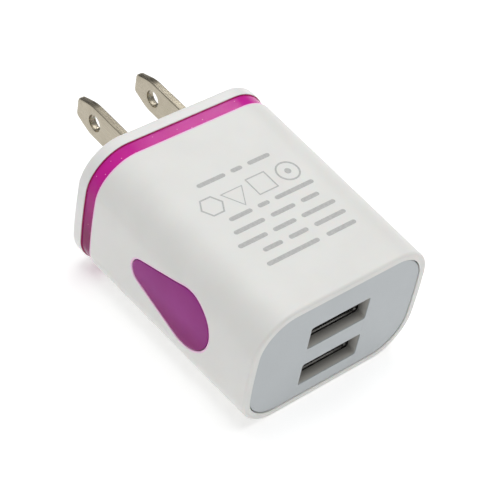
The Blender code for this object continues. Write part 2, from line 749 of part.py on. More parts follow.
def make_lamp(label, side):
    """A round lamp on the upright board, behind the window on its side."""
    straight = LED_LENGTH - LED_RADIUS
    profile = []
    for step in range(4):
        angle = math.radians(30 * step)
        profile.append((LED_RADIUS * math.sin(angle), straight + LED_RADIUS * math.cos(angle)))
    profile += [(LED_RADIUS, 0.0008), (LED_RADIUS * 1.25, 0.0008), (LED_RADIUS * 1.25, 0), (0, 0)]
    place = (side * LED_X, USB_BOARD_FRONT - GAP, WINDOW_Z)
    turned(f"led_{label}", profile, LED_RESIN, place, axis=(0, -1, 0), steps=16)


def make_output_wire(label, side, finish):
    """A short wire from the main board up to the back of the upright board."""
    rear = USB_BOARD_FRONT + BOARD_THICKNESS
    foot = (side * OUTPUT_WIRE_X, rear + 0.0010, MAIN_BOARD_TOP + GAP)
    route = [foot, (foot[0], foot[1], foot[2] + 0.0032), (foot[0], rear + GAP, foot[2] + 0.0032)]
    wire(f"output_wire_{label}", route, OUTPUT_WIRE_RADIUS, finish)


make_housing()
make_cap()
make_band()
make_plate()
for blade_label, blade_side, lead_finish in (("left", -1, LEAD_BLACK), ("right", 1, LEAD_WHITE)):
    make_blade(blade_label, blade_side)
    make_lead(blade_label, blade_side, lead_finish)
for port_label, port_z in PORT_Z.items():
    make_socket(port_label, port_z)
make_usb_board()
make_main_board()
make_transformer()
for can_label, can_side in (("left", -1), ("right", 1)):
    can_place = (can_side * CAN_X, INPUT_CAN_Y)
    make_can(f"input_capacitor_{can_label}", INPUT_CAN_RADIUS, INPUT_CAN_HEIGHT, *can_place, INPUT_SLEEVE)
    can_place = (can_side * CAN_X, OUTPUT_CAN_Y)
    make_can(f"output_capacitor_{can_label}", OUTPUT_CAN_RADIUS, OUTPUT_CAN_HEIGHT, *can_place, OUTPUT_SLEEVE)
make_inductor()
make_small_parts()
make_output_wire("positive", 1, WIRE_RED)
make_output_wire("negative", -1, LEAD_BLACK)
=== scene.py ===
import functools
import math

import bmesh
import bpy
from mathutils import Matrix, Vector


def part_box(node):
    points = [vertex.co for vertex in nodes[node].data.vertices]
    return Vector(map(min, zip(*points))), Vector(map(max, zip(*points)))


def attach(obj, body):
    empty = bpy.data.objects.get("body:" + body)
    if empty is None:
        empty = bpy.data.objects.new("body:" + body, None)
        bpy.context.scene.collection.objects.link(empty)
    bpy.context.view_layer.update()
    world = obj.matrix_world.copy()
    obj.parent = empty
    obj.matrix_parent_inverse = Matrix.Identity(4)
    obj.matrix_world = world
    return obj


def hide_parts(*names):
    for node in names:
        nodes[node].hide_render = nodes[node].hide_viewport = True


# Looks of the USB wall charger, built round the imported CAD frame. +Y points out of the plug face, -Y out
# of the socket face, +Z out of the printed wide face, and the origin is the middle of the plug face.
# Sizes are in millimetres times MM, and the relief of a surface is in micrometres times MICRON.

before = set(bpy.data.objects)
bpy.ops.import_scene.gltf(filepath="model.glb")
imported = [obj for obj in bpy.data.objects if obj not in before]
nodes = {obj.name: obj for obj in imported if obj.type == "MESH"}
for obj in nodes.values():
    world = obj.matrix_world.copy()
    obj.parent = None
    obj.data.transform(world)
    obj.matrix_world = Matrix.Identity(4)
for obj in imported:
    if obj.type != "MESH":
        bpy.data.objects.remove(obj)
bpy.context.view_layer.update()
BODY = "charger"
MM = 0.001
MICRON = 0.000001

# The housing's shape, as the CAD has it. GAP is what the CAD keeps between neighbours. RECESS_Y is the
# floor of the plate's recess, and SEAT_Y the underside of the cap's rim.
GAP = 0.3 * MM
CORNER_RADIUS = 7.5 * MM
SIDE_CROWN = 0.73 * MM
WALL = 2.0 * MM
WIDTH_DRAFT = 0.55 * MM
DEPTH_DRAFT = 0.7 * MM
RIM_WIDTH = 1.4 * MM
BODY_LENGTH = -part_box("outer_shell")[0].y
SHELL_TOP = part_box("outer_shell")[1].y
PLATE_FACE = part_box("usb_face_plate")[0].y
PLATE_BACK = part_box("usb_face_plate")[1]
PLATE_SHARE = 1 + PLATE_BACK.y / BODY_LENGTH
RECESS_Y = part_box("usb_shell_upper")[0].y
SEAT_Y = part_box("light_band")[1].y + GAP
END_HALF_WIDTH = PLATE_BACK.x + RIM_WIDTH + GAP - WIDTH_DRAFT * PLATE_SHARE
END_HALF_DEPTH = PLATE_BACK.z + RIM_WIDTH + GAP - DEPTH_DRAFT * PLATE_SHARE

# How finely the housing's section is divided
CORNER_STEPS = 16
CORNER_TURNS = ((1, 1), (-1, 1), (-1, -1), (1, -1))
WIDE_STEPS = 24
NARROW_STEPS = 16
SECTION_POINTS = 4 * CORNER_STEPS + 2 * WIDE_STEPS + 2 * NARROW_STEPS
ROWS = 56
FILLET_STEPS = 5

# Edges and seams of the visible skins. LIT_EDGE is the strip of shell whose colour is a painted pink glow,
# standing in for the magenta parts' light.
SHELL_REAR_EDGE = 0.22 * MM
SHELL_FRONT_EDGE = 0.55 * MM
RIM_INNER_EDGE = 0.12 * MM
LIT_EDGE = 0.16 * MM
SEAM = 0.03 * MM
CAP_EDGE = 0.75 * MM
CAP_REAR_EDGE = 0.1 * MM
CAP_LIP_THICKNESS = 1.2 * MM
SLOT_PLAY = 0.12 * MM
SLOT_CHAMFER = 0.1 * MM
SLOT_CORNER = 0.3 * MM
BAND_RECESS = 0.25 * MM
BAND_RIDGE_INSET = 0.1 * MM
PLATE_EDGE = 0.12 * MM
PLATE_SEAM = 0.05 * MM
PLATE_EXTRA_RADIUS = 0.3 * MM
PORT_EDGE = 0.06 * MM

# The plate's openings: how much smaller than the receptacle shells behind them, on each side
PORT_TRIM_X = 0.2 * MM
PORT_TRIM_Z = 0.3 * MM
PORT_CORNER = 0.4 * MM

# Drop-shaped windows: a round head towards the sockets, a smaller round tip towards the plug
HEAD_RADIUS = 5.87 * MM
TIP_RADIUS = 2.4 * MM
WINDOW_FLANGE = 0.8 * MM
WINDOW_FLANGE_THICKNESS = 0.9 * MM
WINDOW_LOW, WINDOW_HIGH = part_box("drop_window_left")
WINDOW_Z = (WINDOW_LOW.z + WINDOW_HIGH.z) / 2
HEAD_Y = WINDOW_LOW.y + WINDOW_FLANGE + HEAD_RADIUS
DROP_LENGTH = WINDOW_HIGH.y - WINDOW_FLANGE - TIP_RADIUS - HEAD_Y
DROP_MIDDLE_Y = HEAD_Y + 3 * MM
WINDOW_SEAM = 0.1 * MM
HOLE_EDGE = 0.18 * MM
WINDOW_EDGE = 0.15 * MM
WINDOW_DOME = 0.08 * MM
WINDOW_STEPS = 160
WINDOW_SHARES = (0.12, 0.25, 0.4, 0.55, 0.7, 0.82, 0.92, 1.0)
PATCH_RINGS = 7
PATCH_EASE = 0.8
PATCH_CORNER_STEPS = 4
PATCH_START = -13.8 * MM
PATCH_END = -38.4 * MM

# Receptacle shells. The flare is how far the mouth opens (mm) at some depths behind its edge (mm).
SHEET = 0.3 * MM
SOCKET_CORNER = 0.6 * MM
SOCKET_FLARE = ((0.0, 0.32), (0.07, 0.2), (0.18, 0.1), (0.36, 0.03), (0.65, 0.0))
SOCKET_LIP_REACH = 0.05 * MM
SOCKET_LIP_FLARE = 0.17 * MM
SOCKET_LIP_CORNER = 0.7 * MM

# A finger spans its window and dips as a squared sine wave that ends a little before its tip
FINGER_X = 2.9 * MM
FINGER_HALF_WIDTH = 0.85 * MM
FINGER_DIP = 0.42 * MM
FINGER_WINDOW_HALF_WIDTH = 1.2 * MM
FINGER_WINDOW = (1.6 * MM, 7.2 * MM)
FINGER_ROOT = 0.3 * MM
FINGER_CLEARANCE = 0.5 * MM
FINGER_WAVE = 1.12
FINGER_STEPS = 14
FOOT_HALF_WIDTH = 0.9 * MM
FOOT_OVERLAP = 1.5 * MM

# Blades. The coined edge runs from the flat face out, as shares of its width and of its drop. Both grow
# from their first value to their second over the last part of the blade.
BLADE_TAPER = 4.0 * MM
BLADE_TIP_NARROWING = 1.25 * MM
BLADE_COINING = ((1.0, 0.0), (0.55, 0.12), (0.2, 0.45), (0.0, 1.0))
BLADE_COIN_WIDTHS = (0.22 * MM, 0.64 * MM)
BLADE_COIN_DROPS = (0.2 * MM, 0.36 * MM)
BLADE_COIN_LENGTH = 4.4 * MM
BLADE_HOLE_RADIUS = 1.6 * MM
BLADE_HOLE_FROM_TIP = 5.3 * MM
BLADE_HOLE_STEPS = 48

# How far the blade's hole grows at some depths under a flat face
BLADE_HOLE_CHAMFER = ((0.15 * MM, 0.0), (0.03 * MM, 0.05 * MM), (0.0, 0.15 * MM))

# Printed marks. A line has its y, its start and end in x (mm), and the lengths of its words.
PRINT_THICKNESS = 0.025 * MM
PRINT_SUNK = 0.01 * MM
BAR_HALF_HEIGHT = 0.42 * MM
WORD_SPACE = 1.1
PRINTED_LINES = (
    (-35.8, 10.0, -8.8, (4, 7)),
    (-33.1, 10.1, -7.4, (5, 3, 3)),
    (-30.5, 10.1, -10.4, (6, 4, 5)),
    (-27.8, 8.9, -9.1, (3, 4, 5)),
    (-25.1, 10.0, -7.9, (7, 2, 4)),
    (-16.5, 7.6, -7.8, (4, 2, 5)),
)
# A shape has its x (mm), its corners, its turn (degrees) and its radius (mm).
PRINTED_SHAPES = ((7.75, 40, 0, 2.2), (2.1, 4, 45, 2.9), (-3.4, 3, -90, 2.7), (-8.4, 6, 0, 2.3))
SHAPES_Y = -21.2 * MM
SHAPE_STROKE = 0.32 * MM
DOT_RADIUS = 0.6 * MM

# Contacts in each receptacle
CONTACTS = 4

# Electrolytic capacitors: how far from the middle they stand, and each kind's sleeve and stripe colours
CAPACITOR_X = 10.3 * MM
CAPACITOR_SLEEVES = (
    ("input", (0.03, 0.035, 0.055), (0.55, 0.55, 0.58)),
    ("output", (0.045, 0.12, 0.09), (0.60, 0.62, 0.55)),
)

# Studio. SKY is how bright the surroundings are at each height.
FLOOR_GLOW = 0.38
FLOOR_HALF = 1.5
FLOOR_STEPS = 8
LIGHT_TARGET = Vector((0, -20, 0)) * MM
SKY = ((0.0, 0.85), (0.1, 0.78), (0.17, 0.1), (0.5, 0.2), (1.0, 0.95))

# The photograph's viewpoint, with its angles in degrees
CAMERA_AZIMUTH = -47.352
CAMERA_ELEVATION = 44.893
CAMERA_ROLL = 11.451
CAMERA_DISTANCE = 306.88 * MM
CAMERA_TARGET = Vector((5.976, -15.4, -7.644)) * MM
CAMERA_LENS = 131.73
CAMERA_SENSOR = 36


# Section of the housing


def half_sizes(y, inset):
    """Half the housing's width and half its depth at y, inset from its outer surface."""
    share = 1 + y / BODY_LENGTH
    return END_HALF_WIDTH + WIDTH_DRAFT * share - inset, END_HALF_DEPTH + DEPTH_DRAFT * share - inset


def crowned(x, z, half_width, half_depth):
    """x on the narrow sides' slight crown, which falls off towards the wide faces."""
    return x * (1 - SIDE_CROWN / half_width * (z / half_depth) ** 2)


def section(y, inset, extra_radius=0.0):
    """The housing's section as points, counterclockwise from the upper end of the +X side."""
    half_width, half_depth = half_sizes(y, inset)
    radius = CORNER_RADIUS - inset + extra_radius
    corners = []
    for quarter, (turn_x, turn_z) in enumerate(CORNER_TURNS):
        centre = Vector((turn_x * (half_width - radius), turn_z * (half_depth - radius)))
        arc = []
        for step in range(CORNER_STEPS + 1):
            angle = math.pi / 2 * (quarter + step / CORNER_STEPS)
            arc.append(centre + radius * Vector((math.cos(angle), math.sin(angle))))
        corners.append(arc)
    points = []
    for quarter, arc in enumerate(corners):
        points += arc
        steps = NARROW_STEPS if quarter % 2 else WIDE_STEPS
        following = corners[(quarter + 1) % 4][0]
        points += [arc[-1].lerp(following, step / steps) for step in range(1, steps)]
    return [Vector((crowned(x, z, half_width, half_depth), y, z)) for x, z in points]


def side_x(y, z, inset=0.0):
    """How far the narrow side's surface lies from the middle at (y, z)."""
    half_width, half_depth = half_sizes(y, inset)
    radius = CORNER_RADIUS - inset
    past = max(0.0, abs(z) - (half_depth - radius))
    reach = half_width - radius + math.sqrt(radius**2 - past**2)
    return crowned(reach, z, half_width, half_depth)


def fillet(radius, steps=FILLET_STEPS):
    """A quarter round as pairs: the first grows from 0 to the radius as the second shrinks to 0."""
    angles = [math.pi / 2 * step / steps for step in range(steps + 1)]
    return [(radius * (1 - math.cos(angle)), radius * (1 - math.sin(angle))) for angle in angles]


# Mesh helpers


def ring(shape, points):
    """New corners at the points."""
    return [shape.verts.new(point) for point in points]


def bridge(shape, *rings, skip=(), finish_index=0):
    """Quads between neighbouring closed rings, apart from the (row, column) pairs to skip."""
    for row, (low, high) in enumerate(zip(rings, rings[1:])):
        for column in range(len(low)):
            if (row, column) not in skip:
                after = (column + 1) % len(low)
                face = shape.faces.new((low[column], low[after], high[after], high[column]))
                face.material_index = finish_index


def flat_fill(shape, *loops):
    """Fills a flat face whose outline is the first loop and whose holes are the others."""
    edges = []
    for loop in loops:
        for pair in zip(loop, loop[1:] + loop[:1]):
            edges.append(shape.edges.get(pair) or shape.edges.new(pair))
    bmesh.ops.triangle_fill(shape, edges=edges, use_beauty=True)


def fan(shape, loop, middle):
    """Triangles from a closed loop to one point."""
    centre = shape.verts.new(middle)
    for first, second in zip(loop, loop[1:] + loop[:1]):
        shape.faces.new((first, second, centre))


def piece(name, shape, finishes, stands_for=None, sharp=38):
    """Turns a bmesh into a visible piece that rides on the charger and may stand for a CAD node."""
    loose = [corner for corner in shape.verts if not corner.link_faces]
    bmesh.ops.delete(shape, geom=loose, context="VERTS")
    bmesh.ops.recalc_face_normals(shape, faces=shape.faces)
    mesh = bpy.data.meshes.new(name)
    shape.to_mesh(mesh)
    shape.free()
    for finish in finishes:
        mesh.materials.append(finish)
    mesh.shade_smooth()
    mesh.set_sharp_from_angle(angle=math.radians(sharp))
    made = bpy.data.objects.new(name, mesh)
    bpy.context.scene.collection.objects.link(made)
    weighted = made.modifiers.new("weighted_normals", "WEIGHTED_NORMAL")
    weighted.keep_sharp = True
    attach(made, BODY)
    if stands_for:
        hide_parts(stands_for)


def add_block(shape, low, high):
    """A box between two corners, added to the shape as a closed part of its own."""
    low, high = Vector(low), Vector(high)
    size = Matrix.Diagonal((*(high - low), 1))
    bmesh.ops.create_cube(shape, size=1, matrix=Matrix.Translation((low + high) / 2) @ size)


# Materials


class Finish:
    """A Principled material whose colour, roughness and relief come from textures in object space."""

    def __init__(self, name, color, roughness, sockets=None):
        self.material = bpy.data.materials.new(name)
        self.material.use_nodes = True
        self.tree = self.material.node_tree
        self.shader = self.tree.nodes["Principled BSDF"]
        self.shader.inputs["Base Color"].default_value = (*color, 1)
        self.shader.inputs["Roughness"].default_value = roughness
        for socket, value in (sockets or {}).items():
            self.shader.inputs[socket].default_value = value
        self.place = self.tree.nodes.new("ShaderNodeTexCoord").outputs["Object"]
        self.normal = None

    def texture(self, kind, stretch=(1, 1, 1), settings=None, **values):
        """A texture's value over the surface, from 0 to 1, with its scale in features per metre."""
        mapping = self.tree.nodes.new("ShaderNodeMapping")
        mapping.inputs["Scale"].default_value = stretch
        self.tree.links.new(self.place, mapping.inputs["Vector"])
        made = self.tree.nodes.new(f"ShaderNodeTex{kind}")
        for name, value in (settings or {}).items():
            setattr(made, name, value)
        for name, value in values.items():
            made.inputs[name.title()].default_value = value
        self.tree.links.new(mapping.outputs["Vector"], made.inputs["Vector"])
        return made.outputs["Distance" if kind == "Voronoi" else "Fac"]

    def axis(self, index, start, end):
        """0 to 1 along one of the object's axes, between two places on it."""
        split = self.tree.nodes.new("ShaderNodeSeparateXYZ")
        self.tree.links.new(self.place, split.inputs["Vector"])
        return self.ranged(split.outputs[index], start, end)

    def ranged(self, value, low, high, new_low=0.0, new_high=1.0):
        change = self.tree.nodes.new("ShaderNodeMapRange")
        limits = {"From Min": low, "From Max": high, "To Min": new_low, "To Max": new_high}
        for name, number in limits.items():
            change.inputs[name].default_value = number
        self.tree.links.new(value, change.inputs["Value"])
        return change.outputs["Result"]

    def tint(self, value, color, low=0.3, high=0.7):
        """Turns the colour so far into another one where the value goes from low to high."""
        mix = self.tree.nodes.new("ShaderNodeMix")
        mix.data_type = "RGBA"
        base = self.shader.inputs["Base Color"]
        if base.links:
            self.tree.links.new(base.links[0].from_socket, mix.inputs["A"])
        else:
            mix.inputs["A"].default_value = base.default_value
        mix.inputs["B"].default_value = (*color, 1)
        self.tree.links.new(self.ranged(value, low, high), mix.inputs["Factor"])
        self.tree.links.new(mix.outputs["Result"], base)

    def gloss(self, value, low_roughness, high_roughness):
        rough = self.ranged(value, 0.3, 0.7, low_roughness, high_roughness)
        self.tree.links.new(rough, self.shader.inputs["Roughness"])

    def relief(self, value, depth):
        """Raises the surface by up to the depth, in metres, where the value is 1."""
        bump = self.tree.nodes.new("ShaderNodeBump")
        bump.inputs["Distance"].default_value = depth
        self.tree.links.new(value, bump.inputs["Height"])
        if self.normal:
            self.tree.links.new(self.normal, bump.inputs["Normal"])
        self.normal = bump.outputs["Normal"]
        self.tree.links.new(self.normal, self.shader.inputs["Normal"])


def moulded(name, color, roughness, spread=0.06, grain=2600, depth=2.5 * MICRON, sockets=None):
    """Moulded plastic: faint flow mottling, a fine eroded grain and slightly uneven gloss."""
    made = Finish(name, color, roughness, sockets)
    mottle = made.texture("Noise", scale=140, detail=4)
    made.tint(mottle, [channel * 0.965 for channel in color])
    fine = made.texture("Noise", scale=grain, detail=3)
    made.gloss(fine, roughness - spread, roughness + spread)
    made.relief(fine, depth)
    return made


def housing_plastic(name, color, roughness, specular=0.45):
    """White moulded plastic that lets a little light through."""
    sockets = {"Subsurface Weight": 0.12, "Subsurface Scale": 0.6 * MM, "Specular IOR Level": specular}
    return moulded(name, color, roughness, sockets=sockets).material


def shell_plastic():
    return housing_plastic("shell_plastic", (0.79, 0.79, 0.765), 0.42)


def painted_glow_plastic():
    """The shell's plastic at the edges beside magenta parts, coloured with a painted pink glow of their
    light.
    """
    return housing_plastic("shell_painted_glow", (0.93, 0.62, 0.83), 0.42, specular=0.3)


def cap_plastic():
    return housing_plastic("cap_plastic", (0.82, 0.82, 0.805), 0.36)


def plate_plastic():
    """Blue-grey satin plastic; its walls inside the openings are warmer, and painted shade darkens them
    inwards.
    """
    made = moulded("plate_plastic", (0.515, 0.548, 0.566), 0.46, grain=3400, depth=3 * MICRON)
    walls = made.axis(1, PLATE_FACE + 0.1 * MM, PLATE_FACE + 0.3 * MM)
    made.tint(walls, (0.57, 0.56, 0.525), 0.0, 1.0)
    # Painted shade: the walls inside the openings grow darker deeper in.
    painted_shade_depth = made.axis(1, PLATE_FACE + 0.5 * MM, PLATE_BACK.y + 0.5 * MM)
    made.tint(painted_shade_depth, (0.22, 0.21, 0.20), 0.0, 1.0)
    return made.material


def clear_magenta(name, color, deep, sockets):
    """Tinted clear plastic, glossy, with a deeper tint in patches."""
    made = Finish(name, color, 0.18, sockets)
    made.tint(made.texture("Noise", scale=160, detail=3), deep, 0.35, 0.75)
    made.gloss(made.texture("Noise", scale=700, detail=2), 0.12, 0.22)
    made.relief(made.texture("Noise", scale=420, detail=2), 4 * MICRON)
    return made


def band_plastic():
    """The band: painted shade deepens it low on its sides, bright specks are painted glints, and a painted
    dark red shadow runs along its ridge by the cap.
    """
    sockets = {"Subsurface Weight": 0.25, "Subsurface Scale": 1.2 * MM, "Specular IOR Level": 0.12}
    made = clear_magenta("band_plastic", (0.60, 0.022, 0.33), (0.52, 0.014, 0.27), sockets)
    # Painted shade: darker towards the bottom of its sides, lighter on top.
    made.tint(made.axis(2, 10 * MM, -3 * MM), (0.235, 0.004, 0.10), 0.0, 1.0)
    # Painted glints: small bright specks standing in for tiny highlights.
    painted_glints = made.texture("Voronoi", scale=900)
    made.tint(made.ranged(painted_glints, 0.10, 0.03), (0.95, 0.45, 0.80), 0.0, 1.0)
    # Painted shadow: a dark red line along the ridge beside the cap.
    ridge = SEAT_Y - SEAM
    made.tint(made.axis(1, ridge - 0.22 * MM, ridge - 0.17 * MM), (0.34, 0.008, 0.10), 0.0, 1.0)
    return made.material


def window_plastic():
    """The windows, with painted shade that deepens them towards their lower edge."""
    sockets = {"Subsurface Weight": 0.15, "Subsurface Scale": 1.2 * MM, "Specular IOR Level": 0.11}
    made = clear_magenta("window_plastic", (0.33, 0.036, 0.255), (0.29, 0.026, 0.215), sockets)
    # Painted shade: deeper towards the lower edge, where the window reflects the shadowed floor.
    made.tint(made.axis(2, WINDOW_Z - 0.5 * MM, WINDOW_Z - 4 * MM), (0.25, 0.001, 0.155), 0.0, 1.0)
    return made.material


def brushed(name, color, dark, roughness, along, depth=1.5 * MICRON):
    """Metal with fine drawn lines along one axis, a duller patina in patches and small pits."""
    stretch = [1.0, 1.0, 1.0]
    stretch[along] = 0.04
    made = Finish(name, color, roughness, {"Metallic": 1.0})
    lines = made.texture("Noise", stretch, scale=5200, detail=4)
    made.tint(made.texture("Noise", scale=330, detail=5), dark)
    made.gloss(lines, roughness - 0.08, roughness + 0.1)
    made.relief(lines, depth)
    made.relief(made.ranged(made.texture("Voronoi", scale=1500), 0.12, 0.0), -2 * MICRON)
    return made.material


def socket_steel():
    return brushed("socket_steel", (0.40, 0.395, 0.38), (0.30, 0.295, 0.285), 0.24, along=1)


def blade_nickel():
    color, dark = (0.425, 0.385, 0.305), (0.37, 0.33, 0.255)
    return brushed("blade_nickel", color, dark, 0.26, along=1, depth=0.7 * MICRON)


def drawn_wave(name, color, dark, roughness, axis, turns_per_metre, depth, metallic=0.0):
    """Turns of wire or tape across one axis: rounded ridges, with painted shade in the grooves between
    them.
    """
    made = Finish(name, color, roughness, {"Metallic": metallic})
    settings = {"wave_type": "BANDS", "bands_direction": "XYZ"[axis], "wave_profile": "SIN"}
    ridges = made.texture("Wave", settings=settings, scale=turns_per_metre / 20, distortion=0.4)
    # Painted shade: the grooves between the turns are darker.
    made.tint(made.ranged(ridges, 0.25, 0.0), dark, 0.0, 1.0)
    made.gloss(made.texture("Noise", scale=1800, detail=2), roughness - 0.08, roughness + 0.1)
    made.relief(ridges, depth)
    return made.material


def board_laminate():
    """Green solder mask over copper tracks, with a faint glass weave."""
    made = Finish("board_laminate", (0.035, 0.16, 0.06), 0.34, {"Coat Weight": 0.3})
    cells = made.texture("Voronoi", settings={"distance": "CHEBYCHEV"}, scale=260)
    made.tint(made.ranged(cells, 0.42, 0.46), (0.07, 0.27, 0.10), 0.0, 1.0)
    weave = made.texture("Brick", scale=700)
    made.gloss(made.texture("Noise", scale=900, detail=2), 0.26, 0.42)
    made.relief(made.ranged(cells, 0.40, 0.46), 30 * MICRON)
    made.relief(weave, 3 * MICRON)
    return made.material


def mottled(name, color, second, roughness, scale, depth, sockets=None):
    """Sintered, dipped or cast stuff: uneven colour and a matt, slightly lumpy skin."""
    made = Finish(name, color, roughness, sockets)
    lumps = made.texture("Noise", scale=scale, detail=6)
    made.tint(lumps, second)
    made.gloss(lumps, roughness - 0.08, roughness + 0.08)
    made.relief(lumps, depth)
    return made.material


def printed_sleeve(name, color, stripe, middle_x):
    """A shrunk sleeve with a lighter polarity stripe down the side that faces the middle."""
    made = Finish(name, color, 0.3, {"Coat Weight": 0.2})
    inner, outer = sorted((middle_x * 0.66, middle_x * 0.72), key=abs)
    made.tint(made.axis(0, outer, inner), stripe, 0.0, 1.0)
    lumps = made.texture("Noise", scale=600, detail=3)
    made.gloss(lumps, 0.24, 0.38)
    made.relief(lumps, 4 * MICRON)
    return made.material


def print_ink():
    """Pad-printed grey ink, thinner in places."""
    made = Finish("print_ink", (0.44, 0.44, 0.435), 0.55)
    made.tint(made.texture("Noise", scale=2600, detail=3), (0.53, 0.53, 0.52))
    made.relief(made.texture("Noise", scale=4200, detail=2), 2 * MICRON)
    return made.material


def floor_finish():
    made = Finish("floor_paper", (0.88, 0.88, 0.88), 0.9)
    made.tint(made.texture("Noise", scale=40, detail=3), (0.86, 0.86, 0.86))
    made.shader.inputs["Emission Color"].default_value = (1, 1, 1, 1)
    made.shader.inputs["Emission Strength"].default_value = FLOOR_GLOW
    return made.material


# Drop-shaped windows


def drop_distance(y, z):
    """How far (y, z) lies outside the drop's outline; negative inside."""
    along, across = y - HEAD_Y, abs(z - WINDOW_Z)
    lean = (HEAD_RADIUS - TIP_RADIUS) / DROP_LENGTH
    flank = math.sqrt(1 - lean**2)
    progress = flank * along - lean * across
    if progress < 0:
        return math.hypot(along, across) - HEAD_RADIUS
    if progress > flank * DROP_LENGTH:
        return math.hypot(along - DROP_LENGTH, across) - TIP_RADIUS
    return flank * across + lean * along - HEAD_RADIUS


@functools.cache
def drop_reach(angle, growth):
    """How far the outline, grown by the growth, lies from the drop's middle in a direction."""
    near, far = 0.0, 20 * MM
    for _ in range(30):
        middle = (near + far) / 2
        y = DROP_MIDDLE_Y + middle * math.cos(angle)
        z = WINDOW_Z + middle * math.sin(angle)
        if drop_distance(y, z) < growth:
            near = middle
        else:
            far = middle
    return near


def drop_point(angle, growth, share=1.0):
    """A (y, z) point on the outline, grown by the growth, or on a smaller copy of it."""
    reach = share * drop_reach(angle, growth)
    return DROP_MIDDLE_Y + reach * math.cos(angle), WINDOW_Z + reach * math.sin(angle)


def on_side(side, y, z, depth, inset=0.0):
    """A point at a depth under a narrow side's surface."""
    return Vector((side * (side_x(y, z, inset) - depth), y, z))


def angle_in_drop(point):
    return math.atan2(point.z - WINDOW_Z, point.y - DROP_MIDDLE_Y)


def patch(shape, side, border, angles, growth, inset):
    """Fills the housing's surface from a border to the drop's outline, and returns its last ring."""
    rings = [border]
    for step in range(1, PATCH_RINGS + 1):
        share = (step / PATCH_RINGS) ** PATCH_EASE
        points = []
        for corner, angle in zip(border, angles):
            y, z = drop_point(angle, growth)
            y = corner.co.y + (y - corner.co.y) * share
            z = corner.co.z + (z - corner.co.z) * share
            points.append(on_side(side, y, z, 0.0, inset))
        rings.append(ring(shape, points))
    bridge(shape, *rings)
    return rings[-1]


def patch_columns(side):
    """The section's columns that cross the window's part of one narrow side."""
    quarter_starts = {-1: CORNER_STEPS + WIDE_STEPS, 1: 3 * CORNER_STEPS + 2 * WIDE_STEPS + NARROW_STEPS}
    first = quarter_starts[side] + CORNER_STEPS - PATCH_CORNER_STEPS
    count = NARROW_STEPS + 2 * PATCH_CORNER_STEPS
    return [(first + step) % SECTION_POINTS for step in range(count + 1)]


def border_of(rings, columns, first_row, last_row):
    """The closed loop of corners round a rectangle of the grid."""
    loop = [rings[first_row][column] for column in columns]
    loop += [rings[row][columns[-1]] for row in range(first_row + 1, last_row)]
    loop += [rings[last_row][column] for column in reversed(columns)]
    loop += [rings[row][columns[0]] for row in range(last_row - 1, first_row, -1)]
    return loop


# Housing


def make_shell(finish, painted_glow_finish):
    """The shell: a tube with rounded ends, a recess for the plate and two drop-shaped holes."""
    shape = bmesh.new()
    top, bottom = SHELL_TOP - SHELL_REAR_EDGE - LIT_EDGE, -BODY_LENGTH + SHELL_FRONT_EDGE
    rows = [top + (bottom - top) * row / ROWS for row in range(ROWS + 1)]
    outer = [ring(shape, section(y, 0.0)) for y in rows]
    inner_rows = [SHELL_TOP] + [y for y in rows if y > RECESS_Y + GAP] + [RECESS_Y]
    inner = [ring(shape, section(y, WALL)) for y in inner_rows]
    first_row = min(range(ROWS), key=lambda row: abs(rows[row] - PATCH_START))
    last_row = min(range(ROWS), key=lambda row: abs(rows[row] - PATCH_END))
    skip = {(row, column) for side in (-1, 1) for column in patch_columns(side)[:-1]
            for row in range(first_row, last_row)}
    bridge(shape, *outer, skip=skip)
    bridge(shape, *inner, skip={(row + 1, column) for row, column in skip})
    close_shell_ends(shape, outer, inner)
    for side in (-1, 1):
        columns = patch_columns(side)
        border = border_of(outer, columns, first_row, last_row)
        inner_border = border_of(inner, columns, first_row + 1, last_row + 1)
        cut_window_hole(shape, side, border, inner_border)
    add_rails(shape)
    piece("shell_skin", shape, (finish, painted_glow_finish), "outer_shell")


def close_shell_ends(shape, outer, inner):
    """The rounded edge beside the band, and the rounded rim with its recess at the socket end."""
    rear = [ring(shape, section(SHELL_TOP - drop, inset)) for inset, drop in fillet(SHELL_REAR_EDGE)]
    # The strip and rounded edge beside the band take the second finish, the painted pink glow.
    bridge(shape, outer[0], *rear, finish_index=1)
    bridge(shape, rear[-1], inner[0])
    front = []
    for inset, rise in fillet(SHELL_FRONT_EDGE)[1:]:
        front.append(ring(shape, section(-BODY_LENGTH + rise, inset)))
    for rise, short in fillet(RIM_INNER_EDGE):
        front.append(ring(shape, section(-BODY_LENGTH + rise, RIM_WIDTH - short)))
    front.append(ring(shape, section(RECESS_Y, RIM_WIDTH)))
    bridge(shape, outer[-1], *front, inner[-1])


def cut_window_hole(shape, side, border, inner_border):
    """Fills one side's two surfaces up to the drop-shaped hole, and makes its rounded wall."""
    angles = [angle_in_drop(corner.co) for corner in border]
    outline = patch(shape, side, border, angles, WINDOW_SEAM + HOLE_EDGE + LIT_EDGE, 0.0)
    inner_outline = patch(shape, side, inner_border, angles, WINDOW_SEAM, WALL)
    wall = []
    for depth, short in fillet(HOLE_EDGE):
        points = [drop_point(angle, WINDOW_SEAM + short) for angle in angles]
        wall.append(ring(shape, [on_side(side, y, z, depth) for y, z in points]))
    # The strip and rounded wall round the hole take the second finish, the painted pink glow.
    bridge(shape, outline, *wall, finish_index=1)
    bridge(shape, wall[-1], inner_outline)


